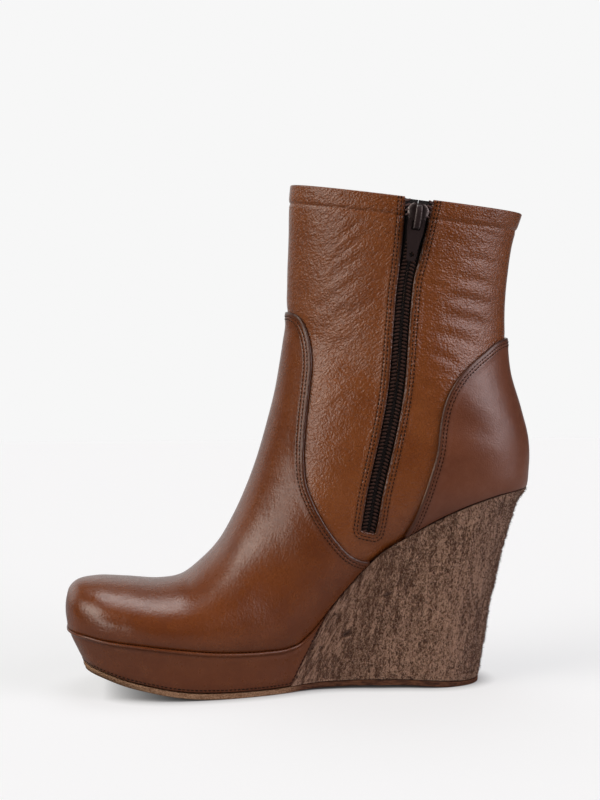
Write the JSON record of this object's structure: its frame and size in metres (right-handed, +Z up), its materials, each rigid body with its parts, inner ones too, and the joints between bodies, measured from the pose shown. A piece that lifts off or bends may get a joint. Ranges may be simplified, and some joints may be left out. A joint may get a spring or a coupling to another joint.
{
  "type": "wedge ankle boot",
  "caption": "Ankle boot on a high wedge with a platform forefoot, raised vamp and heel counter, and an inner side zip with a hinged pull tab.",
  "frame": {"origin": "on the floor under the middle of the boot's length and width", "axes": "+Z up, -X towards the toe, -Y towards the inner side that has the zip"},
  "size_m": [0.2321, 0.0914, 0.2478],
  "materials": {
    "shaft_leather": "pebbled brown leather with a soft sheen",
    "smooth_leather": "smooth brown leather, polished",
    "counter_leather": "smooth brown leather with a pinkish sheen",
    "platform_leather": "smooth brown leather over the platform",
    "rough_split": "rough split leather with a bark-like nap",
    "sole_rubber": "matt brown sole unit with a roughened edge",
    "insole_leather": "undyed lining leather",
    "zip_tape": "woven black tape",
    "zip_coil": "dark brown nylon coil",
    "zip_metal": "dark brown lacquer with worn bright edges"
  },
  "bodies": {
    "boot": {"outsole": "sole_rubber", "platform": "platform_leather", "wedge": "rough_split", "insole": "insole_leather", "upper": "shaft_leather", "vamp": "smooth_leather", "counter": "counter_leather", "zip_tape_front": "zip_tape", "zip_tape_rear": "zip_tape", "zip_coil_front": "zip_coil", "zip_coil_rear": "zip_coil", "zip_slider": "zip_metal"},
    "pull_tab": {"zip_pull_tab": "zip_metal"}
  },
  "joints": [
    {"name": "pull_tab_hinge", "type": "hinge", "parent": "boot", "child": "pull_tab", "pos_m": [0.05394, -0.03041, 0.23066], "axis": [-0.9878, 0.003, 0.1555], "range_deg": [0, 140]}
  ]
}
